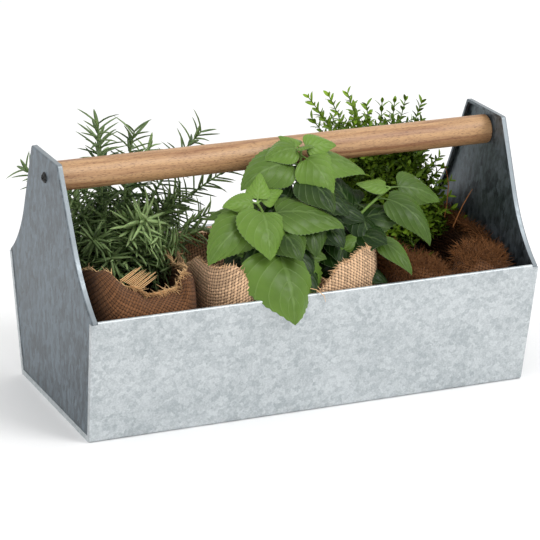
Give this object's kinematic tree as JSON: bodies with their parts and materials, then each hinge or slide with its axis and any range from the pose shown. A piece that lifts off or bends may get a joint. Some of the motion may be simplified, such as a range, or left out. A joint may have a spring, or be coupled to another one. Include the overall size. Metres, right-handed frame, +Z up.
{
  "type": "herb planter",
  "caption": "Galvanised sheet planter box with gable ends and a round wooden carrying handle, holding potted rosemary, mint and thyme bedded in burlap.",
  "frame": {"origin": "middle of the trough's flat underside, on the surface it stands on", "axes": "+X along the row of herbs and the handle, -Y towards the front wall, +Z up"},
  "size_m": [0.4118, 0.2172, 0.2464],
  "materials": {
    "galvanised_steel": "satin",
    "oiled_wood": "satin",
    "blackened_steel": "matte",
    "black_plastic": "matte",
    "potting_soil": "matte",
    "dark_burlap": "matte",
    "light_burlap": "matte",
    "rosemary_foliage": "matte",
    "mint_foliage": "matte",
    "thyme_foliage": "matte"
  },
  "bodies": {
    "box": {"trough": "galvanised_steel", "left_end_panel": "galvanised_steel", "right_end_panel": "galvanised_steel", "rosemary_wrap": "dark_burlap", "mint_wrap": "light_burlap", "thyme_wrap": "dark_burlap"},
    "handle": {"handle_dowel": "oiled_wood", "handle_screws": "blackened_steel"},
    "rosemary": {"rosemary_pot": "black_plastic", "rosemary_soil": "potting_soil", "rosemary_plant": "rosemary_foliage"},
    "mint": {"mint_pot": "black_plastic", "mint_soil": "potting_soil", "mint_plant": "mint_foliage"},
    "thyme": {"thyme_pot": "black_plastic", "thyme_soil": "potting_soil", "thyme_plant": "thyme_foliage"}
  },
  "joints": [
    {"name": "handle_turn", "type": "hinge", "parent": "box", "child": "handle", "pos_m": [0, 0, 0.201], "axis": [1, 0, 0], "continuous": true},
    {"name": "rosemary_lift", "type": "slide", "parent": "box", "child": "rosemary", "axis": [0, 0, 1], "range_m": [0, 0.26]},
    {"name": "mint_lift", "type": "slide", "parent": "box", "child": "mint", "axis": [0, 0, 1], "range_m": [0, 0.26]},
    {"name": "thyme_lift", "type": "slide", "parent": "box", "child": "thyme", "axis": [0, 0, 1], "range_m": [0, 0.26]}
  ]
}
